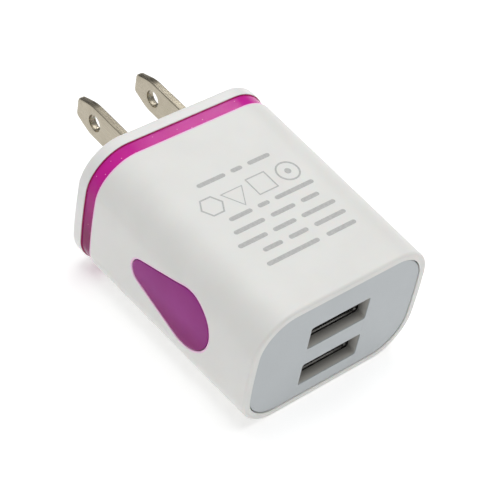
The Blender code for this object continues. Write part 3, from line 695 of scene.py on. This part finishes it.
def add_rails(shape):
    """The rails and ribs inside the shell that hold the two boards."""
    low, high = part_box("main_board")
    rail, lip = 1.0 * MM, 0.5 * MM
    upper_reach, lower_reach = 17.4 * MM, 16.4 * MM
    for side in (-1, 1):
        for bottom, reach in ((high.z + GAP, upper_reach), (low.z - GAP - rail, lower_reach)):
            near, far = sorted((side * (high.x - lip), side * reach))
            add_block(shape, (near, low.y + GAP, bottom), (far, high.y - rail, bottom + rail))
    low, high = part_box("usb_board")
    half_width, reach, overlap, front_step = 4 * MM, 11.5 * MM, 0.6 * MM, 0.4 * MM
    for bottom, top in ((high.z - overlap, reach), (-reach, low.z + overlap)):
        for start in (low.y - GAP - rail, high.y - front_step):
            add_block(shape, (-half_width, start, bottom), (half_width, start + rail, top))


def make_window(side, label, finish):
    """A drop-shaped window: a slightly domed face, a rounded edge, and a flange inside the shell."""
    shape = bmesh.new()
    angles = [2 * math.pi * step / WINDOW_STEPS for step in range(WINDOW_STEPS)]

    def face_ring(growth, share, depth):
        points = [drop_point(angle, growth, share) for angle in angles]
        dome = WINDOW_DOME * (1 - share**2)
        return ring(shape, [on_side(side, y, z, depth - dome) for y, z in points])

    rings = [face_ring(-WINDOW_EDGE, share, 0.0) for share in WINDOW_SHARES]
    rings += [face_ring(-short, 1.0, depth) for depth, short in fillet(WINDOW_EDGE)[1:]]
    low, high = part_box(f"drop_window_{label}")
    inner_x = min(abs(low.x), abs(high.x))
    flange_x = inner_x + WINDOW_FLANGE_THICKNESS
    for growth, x in ((0.0, flange_x), (WINDOW_FLANGE, flange_x), (WINDOW_FLANGE, inner_x)):
        points = [drop_point(angle, growth) for angle in angles]
        rings.append(ring(shape, [Vector((side * x, y, z)) for y, z in points]))
    bridge(shape, *rings)
    fan(shape, rings[0], on_side(side, DROP_MIDDLE_Y, WINDOW_Z, -WINDOW_DOME))
    flat_fill(shape, rings[-1])
    piece(f"window_skin_{label}", shape, (finish,), f"drop_window_{label}")


def make_cap(finish):
    """The plug cap: a rounded end face with two blade slots, and a lip inside the shell."""
    shape = bmesh.new()
    lip_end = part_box("plug_cap")[0].y
    lip_outer = WALL + GAP
    lip_inner = lip_outer + CAP_LIP_THICKNESS
    lip = ((SEAT_Y, lip_inner), (lip_end, lip_inner), (lip_end, lip_outer), (SEAT_Y, lip_outer))
    rings = [ring(shape, section(y, inset)) for y, inset in lip]
    for rise, inset in fillet(CAP_REAR_EDGE):
        rings.append(ring(shape, section(SEAT_Y + rise, inset)))
    for inset, drop in fillet(CAP_EDGE, 8):
        rings.append(ring(shape, section(-drop, inset)))
    bridge(shape, *rings)
    slots, floors = [], []
    for label in ("left", "right"):
        low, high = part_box(f"blade_{label}")
        mouth = [slot_ring(shape, low, high, 0.0, SLOT_PLAY + SLOT_CHAMFER)]
        mouth += [slot_ring(shape, low, high, y, SLOT_PLAY) for y in (-SLOT_CHAMFER, SEAT_Y)]
        bridge(shape, *mouth)
        slots.append(mouth[0])
        floors.append(mouth[-1])
    flat_fill(shape, rings[-1], *slots)
    flat_fill(shape, rings[0], *floors)
    piece("cap_skin", shape, (finish,), "plug_cap")


def slot_ring(shape, low, high, y, growth):
    """A rounded rectangle round a blade's section, grown by the growth."""
    half_x, half_z = (high.x - low.x) / 2 + growth, (high.z - low.z) / 2 + growth
    return ring(shape, rounded_box((low + high) / 2, half_x, half_z, SLOT_CORNER, y, steps=3))


def make_band(finish):
    """The light band, a clear ring that shows as a shallow groove between cap and shell."""
    shape = bmesh.new()
    rear, front = SEAT_Y - SEAM, SHELL_TOP + SEAM
    edge, ridge = 0.08 * MM, 0.16 * MM
    profile = [(rear, WALL), (rear, BAND_RIDGE_INSET), (rear - ridge, BAND_RIDGE_INSET)]
    profile += [(rear - ridge - drop, BAND_RECESS - rise) for drop, rise in fillet(edge, 3)]
    profile += [(front + rise, BAND_RECESS + drop) for drop, rise in fillet(edge, 3)]
    profile.append((front, WALL))
    rings = [ring(shape, section(y, inset)) for y, inset in profile]
    bridge(shape, *rings, rings[0])
    piece("band_skin", shape, (finish,), "light_band")


def port_loop(shape, node, y, growth):
    """The rounded rectangle of a USB port's opening, grown by the growth."""
    low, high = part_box(node)
    half_x = (high.x - low.x) / 2 - PORT_TRIM_X + growth
    half_z = (high.z - low.z) / 2 - PORT_TRIM_Z + growth
    return ring(shape, rounded_box((low + high) / 2, half_x, half_z, PORT_CORNER + growth, y))


def make_plate(finish):
    """The pale face plate, whose two port openings have a fine rounded edge."""
    shape = bmesh.new()
    inset = RIM_WIDTH + PLATE_SEAM
    rings = []
    for drop, rise in reversed(fillet(PLATE_EDGE, 4)):
        rings.append(ring(shape, section(PLATE_FACE + rise, inset + drop, PLATE_EXTRA_RADIUS)))
    rings.append(ring(shape, section(PLATE_BACK.y, inset, PLATE_EXTRA_RADIUS)))
    bridge(shape, *rings)
    fronts, backs = [], []
    for node in ("usb_shell_upper", "usb_shell_lower"):
        edge = fillet(PORT_EDGE, 3)
        mouth = [port_loop(shape, node, PLATE_FACE + depth, growth) for depth, growth in edge]
        mouth.append(port_loop(shape, node, PLATE_BACK.y, 0.0))
        bridge(shape, *mouth)
        fronts.append(mouth[0])
        backs.append(mouth[-1])
    flat_fill(shape, rings[0], *fronts)
    flat_fill(shape, rings[-1], *backs)
    piece("plate_skin", shape, (finish,), "usb_face_plate")


def rounded_box(centre, half_x, half_z, radius, y, steps=5):
    """A rounded rectangle's points at y."""
    points = []
    for quarter, (turn_x, turn_z) in enumerate(CORNER_TURNS):
        for step in range(steps + 1):
            angle = math.pi / 2 * (quarter + step / steps)
            x = turn_x * (half_x - radius) + radius * math.cos(angle)
            z = turn_z * (half_z - radius) + radius * math.sin(angle)
            points.append(Vector((centre.x + x, y, centre.z + z)))
    return points


# USB receptacles


def carved(shape, cutter):
    """The shape without the cutter's closed parts."""
    made = []
    for part in (shape, cutter):
        bmesh.ops.recalc_face_normals(part, faces=part.faces)
        mesh = bpy.data.meshes.new("carving")
        part.to_mesh(mesh)
        part.free()
        made.append(bpy.data.objects.new("carving", mesh))
        bpy.context.scene.collection.objects.link(made[-1])
    cut = made[0].modifiers.new("cut", "BOOLEAN")
    cut.operation, cut.solver, cut.object = "DIFFERENCE", "EXACT", made[1]
    bpy.context.view_layer.update()
    result = bmesh.new()
    result.from_object(made[0], bpy.context.evaluated_depsgraph_get())
    for item in made:
        bpy.data.objects.remove(item)
    return result


def make_socket(label, finish):
    """A receptacle's steel shell, with four windows, a spring finger in each, and two feet."""
    low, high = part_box(f"usb_shell_{label}")
    centre = (low + high) / 2
    half_x, half_z = (high.x - low.x) / 2, (high.z - low.z) / 2
    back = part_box("usb_board")[0].y - GAP
    tube = flared_tube(centre, half_x, half_z, low.y, back)
    start, end = (low.y + edge for edge in FINGER_WINDOW)
    places = [(centre.x + side * FINGER_X, face) for side in (-1, 1) for face in (-1, 1)]
    cutter = bmesh.new()
    for x, face in places:
        near, far = sorted((face * (half_z - 2 * SHEET), face * (half_z + SHEET)))
        add_block(cutter, (x - FINGER_WINDOW_HALF_WIDTH, start, centre.z + near),
                  (x + FINGER_WINDOW_HALF_WIDTH, end, centre.z + far))
    shape = carved(tube, cutter)
    for x, face in places:
        add_finger(shape, x, centre.z + face * (half_z - SHEET / 2), face, start, end)
    for side in (-1, 1):
        near, far = sorted((side * (half_x - SHEET), side * half_x))
        add_block(shape, (near, back - FOOT_OVERLAP, centre.z - FOOT_HALF_WIDTH),
                  (far, high.y, centre.z + FOOT_HALF_WIDTH))
    piece(f"usb_shell_skin_{label}", shape, (finish,), f"usb_shell_{label}", sharp=30)


def flared_tube(centre, half_x, half_z, front, back):
    """A tube of sheet steel from its flared front edge to the board."""
    shape = bmesh.new()

    def loop(y, growth, radius):
        return ring(shape, rounded_box(centre, half_x + growth, half_z + growth, radius, y))

    outside = [loop(front + y * MM, flare * MM, SOCKET_CORNER + flare * MM) for y, flare in SOCKET_FLARE]
    inside = []
    for y, flare in reversed(SOCKET_FLARE):
        growth = flare * MM - SHEET
        inside.append(loop(front + y * MM, growth, SOCKET_CORNER + growth))
    ends = [loop(back, 0.0, SOCKET_CORNER), loop(back, -SHEET, SOCKET_CORNER - SHEET)]
    lip = loop(front - SOCKET_LIP_REACH, SOCKET_LIP_FLARE, SOCKET_LIP_CORNER)
    bridge(shape, *outside, *ends, *inside, lip, outside[0])
    return shape


def add_finger(shape, x, z, face, start, end):
    """A sprung strip, rooted behind its window, that dips into the receptacle and back up."""
    corners = ((-1, -1), (1, -1), (1, 1), (-1, 1))
    root, tip = end + FINGER_ROOT, start + FINGER_CLEARANCE
    rings = []
    for step in range(FINGER_STEPS + 1):
        share = step / FINGER_STEPS
        y = root + share * (tip - root)
        dip = FINGER_DIP * math.sin(math.pi * min(1, share * FINGER_WAVE)) ** 2
        middle = z - face * dip
        points = [(x + side * FINGER_HALF_WIDTH, y, middle + up * SHEET / 2) for side, up in corners]
        rings.append(ring(shape, points))
    bridge(shape, *rings)
    shape.faces.new(rings[0])
    shape.faces.new(rings[-1])


# Blades


def offset_points(points, widths):
    """Moves each point of a closed outline inwards by its own width."""
    moved = []
    for index, (point, width) in enumerate(zip(points, widths)):
        before, after = points[index - 1], points[(index + 1) % len(points)]
        along = (after - before).normalized()
        moved.append(point - width * Vector((along.y, -along.x)))
    return moved


def rounded(points, radii, steps=5):
    """A closed polygon with each corner replaced by a round of its own size."""
    result = []
    for index, (corner, radius) in enumerate(zip(points, radii)):
        before, after = points[index - 1], points[(index + 1) % len(points)]
        start = corner + (before - corner).normalized() * radius
        end = corner + (after - corner).normalized() * radius
        for step in range(steps + 1):
            share = step / steps
            result.append(start.lerp(corner, share).lerp(corner.lerp(end, share), share))
    return result


def blade_outline():
    """The blade's outline as (y, z) points round its middle line, counterclockwise."""
    low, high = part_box("blade_left")
    length, half = high.y, (high.z - low.z) / 2
    tail, root, tail_half = low.y, low.y + 2.7 * MM, 1.5 * MM
    upper = [
        (Vector((length, half - BLADE_TIP_NARROWING)), 0.7 * MM),
        (Vector((length - BLADE_TAPER, half)), 1.2 * MM),
        (Vector((root, half)), 0.3 * MM),
        (Vector((root, tail_half)), 0.1 * MM),
        (Vector((tail, tail_half)), 0.3 * MM),
    ]
    mirrored = [(Vector((point.x, -point.y)), radius) for point, radius in reversed(upper)]
    corners = upper + mirrored
    return rounded([point for point, _ in corners], [radius for _, radius in corners])


def make_blade(label, finish):
    """A flat blade with coined edges, a thinned tip and a chamfered hole."""
    shape = bmesh.new()
    low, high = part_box(f"blade_{label}")
    front, back = coined_faces(shape, low, high)
    middle = (low + high) / 2
    hole_y = high.y - BLADE_HOLE_FROM_TIP

    def hole_ring(side, growth, depth):
        x = middle.x + side * ((high.x - low.x) / 2 - depth)
        circle = polygon(BLADE_HOLE_STEPS, BLADE_HOLE_RADIUS + growth, 0)
        return ring(shape, [(x, hole_y + point.x, middle.z + point.y) for point in circle])

    hole = [hole_ring(1, *pair) for pair in BLADE_HOLE_CHAMFER]
    hole += [hole_ring(-1, *pair) for pair in reversed(BLADE_HOLE_CHAMFER)]
    bridge(shape, *hole)
    flat_fill(shape, front, hole[0])
    flat_fill(shape, back, hole[-1])
    piece(f"blade_skin_{label}", shape, (finish,), f"blade_{label}")


def coined_faces(shape, low, high):
    """The blade's edge all round; returns the outlines of its two flat faces."""
    middle = (low + high) / 2
    outline = blade_outline()
    shares = [max(0, 1 - (high.y - point.x) / BLADE_COIN_LENGTH) for point in outline]
    widths, drops = ([first + (second - first) * share for share in shares]
                     for first, second in (BLADE_COIN_WIDTHS, BLADE_COIN_DROPS))

    def edge_ring(side, width_share, drop_share):
        points = []
        shrunk = offset_points(outline, [width * width_share for width in widths])
        for point, drop in zip(shrunk, drops):
            x = middle.x + side * ((high.x - low.x) / 2 - drop * drop_share)
            points.append((x, point.x, middle.z + point.y))
        return ring(shape, points)

    front = [edge_ring(1, *pair) for pair in BLADE_COINING]
    back = [edge_ring(-1, *pair) for pair in reversed(BLADE_COINING)]
    bridge(shape, *front, *back)
    return front[0], back[-1]


# Print


def make_print(finish):
    """Generic stand-ins for the printed block: word-like bars and four plain shapes."""
    shape = bmesh.new()
    for y, start, end, words in PRINTED_LINES:
        unit = (start - end) / (sum(words) + WORD_SPACE * (len(words) - 1))
        x = start
        for word in words:
            half_length = word * unit / 2
            bar = bar_points(half_length * MM, BAR_HALF_HEIGHT)
            add_mark(shape, bar, (x - half_length) * MM, y * MM)
            x -= (word + WORD_SPACE) * unit
    for x, corners, turn, radius in PRINTED_SHAPES:
        outer = polygon(corners, radius * MM, turn)
        inner = polygon(corners, radius * MM - SHAPE_STROKE, turn)
        add_outline(shape, outer, inner, x * MM, SHAPES_Y)
    add_mark(shape, polygon(24, DOT_RADIUS, 0), PRINTED_SHAPES[0][0] * MM, SHAPES_Y)
    piece("print_marks", shape, (finish,))


def polygon(corners, radius, turn):
    """A regular polygon's corners round its middle."""
    angles = [math.radians(turn) + 2 * math.pi * index / corners for index in range(corners)]
    return [Vector((radius * math.cos(angle), radius * math.sin(angle))) for angle in angles]


def bar_points(half_length, half_height, steps=8):
    """A bar with round ends, as points round its middle."""
    points = []
    for side, turn in ((1, 0.0), (-1, math.pi)):
        middle = side * (half_length - half_height)
        for step in range(steps + 1):
            angle = math.pi * (step / steps - 0.5) + turn
            points.append(Vector((middle + half_height * math.cos(angle), half_height * math.sin(angle))))
    return points


def printed_ring(shape, points, x, y, lift):
    """A loop of points on the printed face, lifted off it."""
    placed = []
    for point in points:
        at_y = y + point.y
        placed.append((x + point.x, at_y, half_sizes(at_y, 0.0)[1] + lift))
    return ring(shape, placed)


def add_mark(shape, points, x, y):
    """A filled mark."""
    low = printed_ring(shape, points, x, y, -PRINT_SUNK)
    high = printed_ring(shape, points, x, y, PRINT_THICKNESS)
    bridge(shape, low, high)
    flat_fill(shape, low)
    flat_fill(shape, high)


def add_outline(shape, outer, inner, x, y):
    """A stroke between an outer and an inner loop."""
    lifts = (-PRINT_SUNK, PRINT_THICKNESS, PRINT_THICKNESS, -PRINT_SUNK)
    loops = (outer, outer, inner, inner)
    rings = [printed_ring(shape, points, x, y, lift) for points, lift in zip(loops, lifts)]
    bridge(shape, *rings, rings[0])


# Carried-over CAD nodes


def component_finishes():
    """Materials for the tongues, the boards, the components on them and the wires."""
    board = board_laminate()
    socket = moulded("socket_plastic", (0.022, 0.022, 0.025), 0.45, grain=3000).material
    ferrite = mottled("ferrite", (0.05, 0.05, 0.055), (0.085, 0.083, 0.08), 0.7, 1200, 10 * MICRON)
    bobbin = moulded("bobbin_plastic", (0.04, 0.04, 0.042), 0.5).material
    tape = drawn_wave("winding_tape", (0.76, 0.58, 0.08), (0.50, 0.34, 0.03), 0.38, 1, 500, 20 * MICRON)
    copper = drawn_wave("copper_wire", (0.75, 0.32, 0.13), (0.28, 0.09, 0.03), 0.32, 2, 3000,
                        60 * MICRON, 1.0)
    disc = mottled("disc_coating", (0.06, 0.19, 0.48), (0.09, 0.26, 0.58), 0.32, 500, 20 * MICRON)
    resistor = mottled("resistor_coating", (0.22, 0.33, 0.28), (0.30, 0.42, 0.35), 0.5, 700, 15 * MICRON)
    chip = mottled("chip_resin", (0.022, 0.022, 0.024), (0.035, 0.035, 0.037), 0.5, 2400, 6 * MICRON)
    glow = {"Coat Weight": 0.6, "Subsurface Weight": 0.3, "Subsurface Scale": 1 * MM}
    lamp = mottled("lamp_resin", (0.80, 0.42, 0.60), (0.88, 0.55, 0.70), 0.12, 260, 3 * MICRON, glow)
    black_lead = moulded("lead_black", (0.03, 0.03, 0.032), 0.42).material
    white_lead = moulded("lead_white", (0.72, 0.72, 0.70), 0.42).material
    red_wire = moulded("wire_red", (0.52, 0.03, 0.03), 0.42).material
    return {
        "usb_board": board, "main_board": board,
        "usb_tongue_upper": socket, "usb_tongue_lower": socket,
        "transformer_core_rear": ferrite, "transformer_core_front": ferrite, "inductor_core": ferrite,
        "transformer_bobbin": bobbin, "transformer_winding": tape, "inductor_winding": copper,
        "y_capacitor": disc, "fusible_resistor": resistor,
        "bridge_rectifier": chip, "switcher_ic": chip, "output_diode": chip,
        "led_left": lamp, "led_right": lamp,
        "lead_left": black_lead, "lead_right": white_lead,
        "output_wire_positive": red_wire, "output_wire_negative": black_lead,
    }


def repeated_finishes():
    """Materials for the contacts, their tails and the sleeves of the electrolytic capacitors."""
    gold = brushed("contact_metal", (0.83, 0.62, 0.27), (0.70, 0.50, 0.20), 0.24, along=1)
    tin = brushed("tail_metal", (0.66, 0.66, 0.64), (0.52, 0.52, 0.50), 0.36, along=1)
    wearing = {}
    for row in ("upper", "lower"):
        for number in range(1, CONTACTS + 1):
            wearing[f"contact_{row}_{number}"] = gold
            wearing[f"contact_tail_{row}_{number}"] = tin
    for side, middle_x in (("left", -CAPACITOR_X), ("right", CAPACITOR_X)):
        for use, color, stripe in CAPACITOR_SLEEVES:
            sleeve = printed_sleeve(f"{use}_sleeve_{side}", color, stripe, middle_x)
            wearing[f"{use}_capacitor_{side}"] = sleeve
    return wearing


def carry_over():
    """Gives every CAD node that stays visible a material of its kind."""
    wearing = {**component_finishes(), **repeated_finishes()}
    for name, finish in wearing.items():
        mesh = nodes[name].data
        mesh.materials.clear()
        mesh.materials.append(finish)
        mesh.shade_smooth()
        soften(nodes[name])


def soften(node):
    """Welds a CAD node's facets and gives its corners a fine round, without touching its own mesh."""
    node.modifiers.new("weld", "WELD").merge_threshold = 0.002 * MM
    edge = node.modifiers.new("edges", "BEVEL")
    edge.width = 0.05 * MM
    edge.segments = 2
    edge.limit_method = "ANGLE"
    edge.angle_limit = math.radians(35)
    node.modifiers.new("weighted_normals", "WEIGHTED_NORMAL")


# Studio


def make_camera():
    azimuth, elevation, roll = map(math.radians, (CAMERA_AZIMUTH, CAMERA_ELEVATION, CAMERA_ROLL))
    flat = math.cos(elevation)
    back = Vector((math.sin(azimuth) * flat, -math.cos(azimuth) * flat, math.sin(elevation)))
    level = Vector((0, 0, 1)).cross(back).normalized()
    upright = back.cross(level)
    across = level * math.cos(roll) + upright * math.sin(roll)
    up = upright * math.cos(roll) - level * math.sin(roll)
    camera = bpy.data.objects.new("camera", bpy.data.cameras.new("camera"))
    camera.data.lens = CAMERA_LENS
    camera.data.sensor_width = CAMERA_SENSOR
    camera.data.clip_start = 10 * MM
    camera.matrix_world = (Matrix.Translation(CAMERA_TARGET + back * CAMERA_DISTANCE)
                           @ Matrix((across, up, back)).transposed().to_4x4())
    bpy.context.scene.collection.objects.link(camera)
    bpy.context.scene.camera = camera


def make_light(name, place, size, power):
    """A round lamp that faces the charger."""
    light = bpy.data.lights.new(name, "AREA")
    light.shape = "DISK"
    light.size = size
    light.energy = power
    lamp = bpy.data.objects.new(name, light)
    lamp.location = place
    lamp.rotation_euler = (Vector(place) - LIGHT_TARGET).to_track_quat("Z", "Y").to_euler()
    bpy.context.scene.collection.objects.link(lamp)


def make_floor():
    """A wide pale sheet under the charger, tilted to lie against its drafted underside."""
    shape = bmesh.new()
    slope = DEPTH_DRAFT / BODY_LENGTH
    level = -(END_HALF_DEPTH + DEPTH_DRAFT) - SEAM
    places = [FLOOR_HALF * (2 * step / FLOOR_STEPS - 1) for step in range(FLOOR_STEPS + 1)]
    corners = [ring(shape, [(x, y, level - slope * y) for x in places]) for y in places]
    for low, high in zip(corners, corners[1:]):
        for index in range(FLOOR_STEPS):
            shape.faces.new((low[index], low[index + 1], high[index + 1], high[index]))
    mesh = bpy.data.meshes.new("floor")
    shape.to_mesh(mesh)
    shape.free()
    mesh.materials.append(floor_finish())
    floor = bpy.data.objects.new("floor", mesh)
    bpy.context.scene.collection.objects.link(floor)


def make_world():
    """Surroundings whose brightness follows the height in the sky."""
    world = bpy.data.worlds.new("studio")
    world.use_nodes = True
    tree = world.node_tree
    background = tree.nodes["Background"]
    background.inputs["Strength"].default_value = 1.0
    split = tree.nodes.new("ShaderNodeSeparateXYZ")
    ramp = tree.nodes.new("ShaderNodeValToRGB")
    while len(ramp.color_ramp.elements) < len(SKY):
        ramp.color_ramp.elements.new(0.5)
    for element, (height, strength) in zip(ramp.color_ramp.elements, SKY):
        element.position = height
        element.color = (strength, strength, strength, 1)
    tree.links.new(tree.nodes.new("ShaderNodeTexCoord").outputs["Generated"], split.inputs["Vector"])
    tree.links.new(split.outputs["Z"], ramp.inputs["Fac"])
    tree.links.new(ramp.outputs["Color"], background.inputs["Color"])
    bpy.context.scene.world = world
    bpy.context.scene.view_settings.view_transform = "Standard"


make_shell(shell_plastic(), painted_glow_plastic())
window = window_plastic()
make_window(-1, "left", window)
make_window(1, "right", window)
make_cap(cap_plastic())
make_band(band_plastic())
make_plate(plate_plastic())
steel = socket_steel()
make_socket("upper", steel)
make_socket("lower", steel)
nickel = blade_nickel()
make_blade("left", nickel)
make_blade("right", nickel)
make_print(print_ink())
carry_over()
make_floor()
make_world()
make_light("key", (0.06, 0.02, 0.5), 0.5, 1.26)
make_light("rim", (0.27, 0.23, 0.36), 0.08, 0.12)
make_camera()
